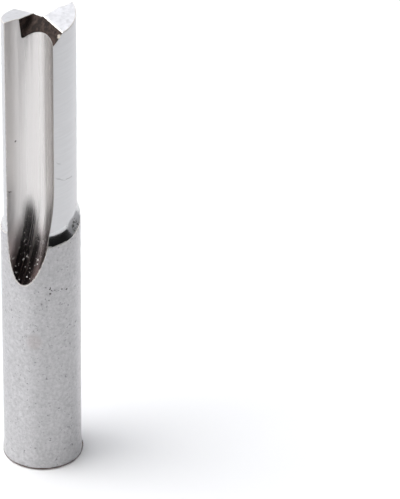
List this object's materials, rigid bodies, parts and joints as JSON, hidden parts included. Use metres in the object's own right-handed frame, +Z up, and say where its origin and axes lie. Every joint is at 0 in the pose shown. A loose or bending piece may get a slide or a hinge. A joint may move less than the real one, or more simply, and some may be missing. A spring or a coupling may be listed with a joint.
{
  "type": "router bit",
  "caption": "Straight router bit with opposed ground flutes, relieved lands and a gashed end for plunging, on a plain shank for a collet.",
  "frame": {"origin": "centre of the shank's end face", "axes": "+Z up the tool's axis to the cutting end; the cutting edges lie in the XZ plane, at +X and -X"},
  "size_m": [0.008, 0.008, 0.051],
  "materials": {
    "tool_steel": "ground high-speed steel, matt on the shank and bright in the flutes"
  },
  "bodies": {
    "root": {"router_bit": "tool_steel"}
  },
  "joints": []
}
